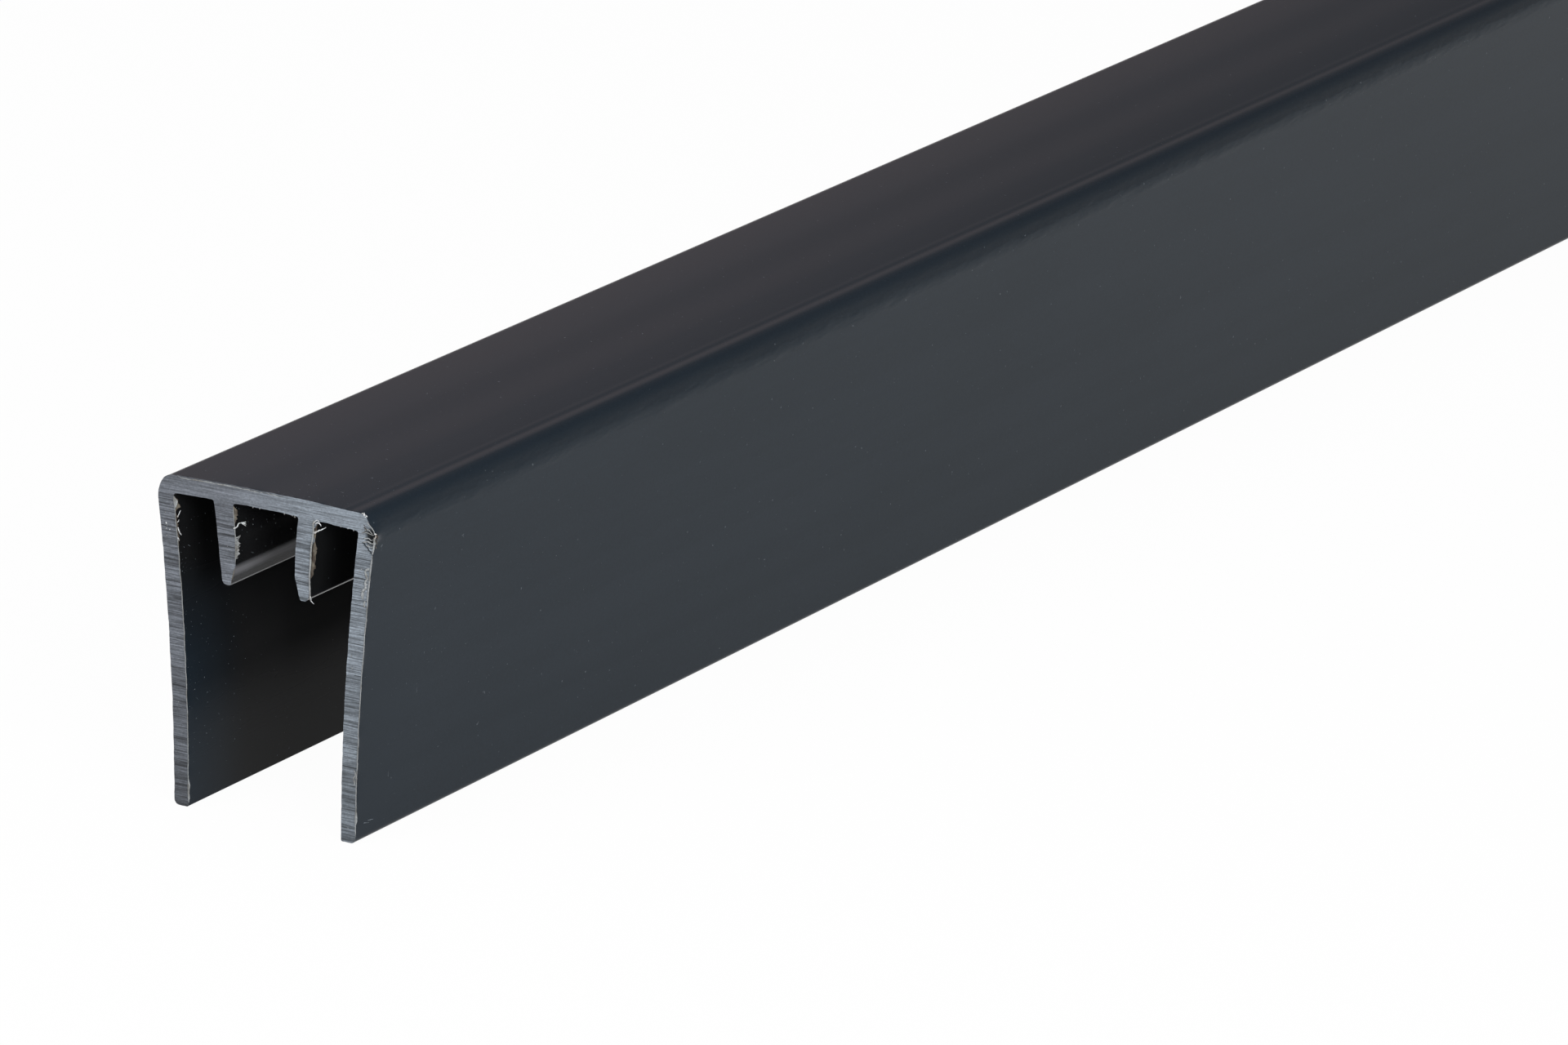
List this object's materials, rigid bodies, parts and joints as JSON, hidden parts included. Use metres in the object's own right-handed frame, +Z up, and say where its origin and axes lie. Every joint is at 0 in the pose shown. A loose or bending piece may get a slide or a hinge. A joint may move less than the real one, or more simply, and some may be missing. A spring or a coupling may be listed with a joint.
{
  "type": "pvc u-channel profile",
  "caption": "Rigid plastic U-channel profile, open at both ends, with a crowned web, inward-leaning legs and inner gripping ribs, to cap the edge of a panel or mesh fence.",
  "frame": {"origin": "midway along the profile, between the legs, at the level of the leg tips", "axes": "+Y along the profile, away from the pictured cut end; +Z up from the leg tips to the web; +X across the channel"},
  "size_m": [0.022, 1, 0.0298],
  "materials": {
    "pvc": "satin"
  },
  "bodies": {
    "root": {"u_channel_profile": "pvc"}
  },
  "joints": []
}
